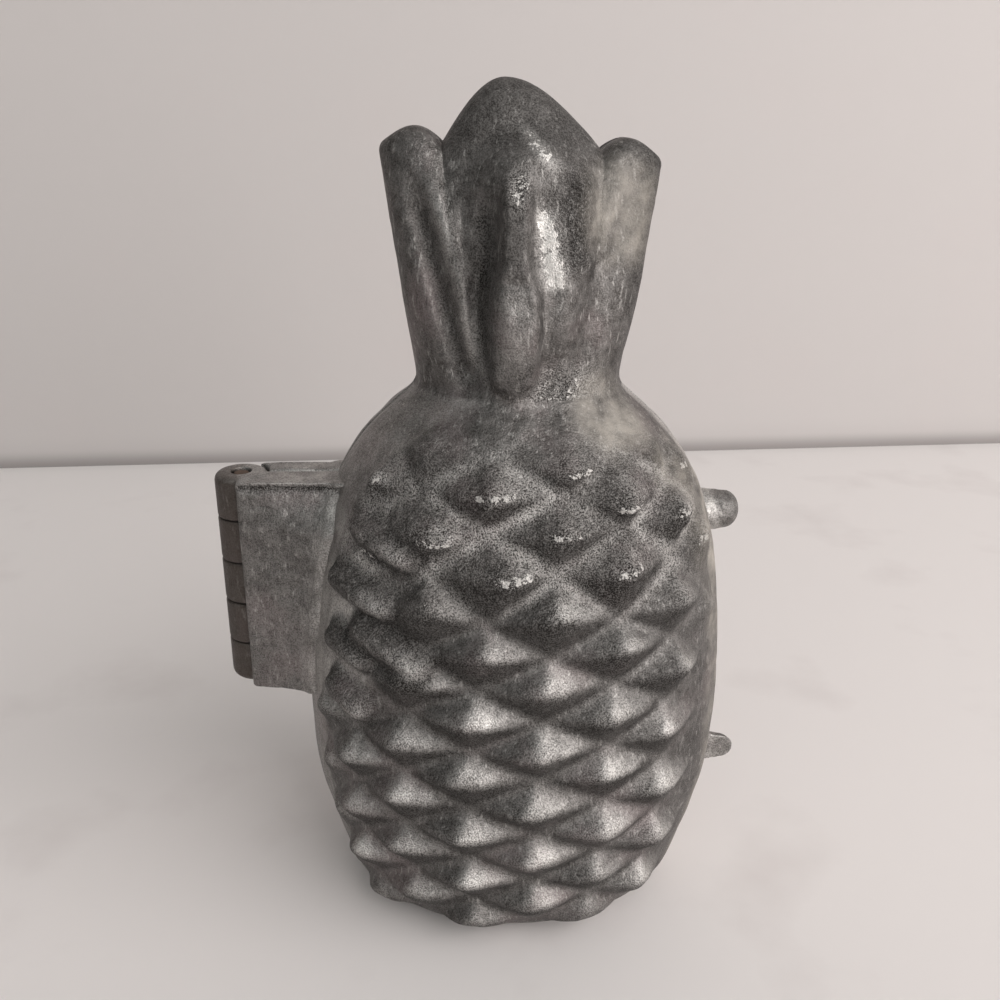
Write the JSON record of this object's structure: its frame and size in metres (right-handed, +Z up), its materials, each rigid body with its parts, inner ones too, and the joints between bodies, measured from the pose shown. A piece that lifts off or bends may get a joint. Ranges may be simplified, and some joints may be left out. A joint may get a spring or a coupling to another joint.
{
  "type": "ice cream mould",
  "caption": "Upright two-part cast pewter mould in the shape of a pineapple, its halves joined by a pin hinge, with finger lugs to pull it open.",
  "frame": {"origin": "on the surface the mould stands on, under the middle of the closed mould's bounding box, hinge and lugs included", "axes": "+Z up along the pineapple's height; the parting plane is y = 0 with the opening half at -Y, the picture's side; the hinge is at -X and the finger lugs at +X"},
  "size_m": [0.0754, 0.0522, 0.114],
  "materials": {
    "front_cast_pewter": "cast pewter, dull dark grey patina, high points worn bright",
    "rear_cast_pewter": "cast pewter, dull dark grey patina, high points worn bright",
    "front_leaf_pewter": "cast pewter, filed flat, brownish barrel",
    "rear_leaf_pewter": "cast pewter, filed flat, brownish barrel",
    "pin_iron_wire": "iron wire with thin brown rust",
    "front_lug_pewter": "cast pewter, rubbed by fingers",
    "rear_lug_pewter": "cast pewter, dark patina"
  },
  "bodies": {
    "rear_half": {"rear_shell": "rear_cast_pewter", "rear_hinge_leaf": "rear_leaf_pewter", "rear_lug": "rear_lug_pewter", "hinge_pin": "pin_iron_wire"},
    "front_half": {"front_shell": "front_cast_pewter", "front_hinge_leaf": "front_leaf_pewter", "front_lug": "front_lug_pewter"}
  },
  "joints": [
    {"name": "hinge", "type": "hinge", "parent": "rear_half", "child": "front_half", "pos_m": [-0.03413, 0, 0.049], "axis": [0, 0, -1], "range_deg": [0, 180]}
  ]
}
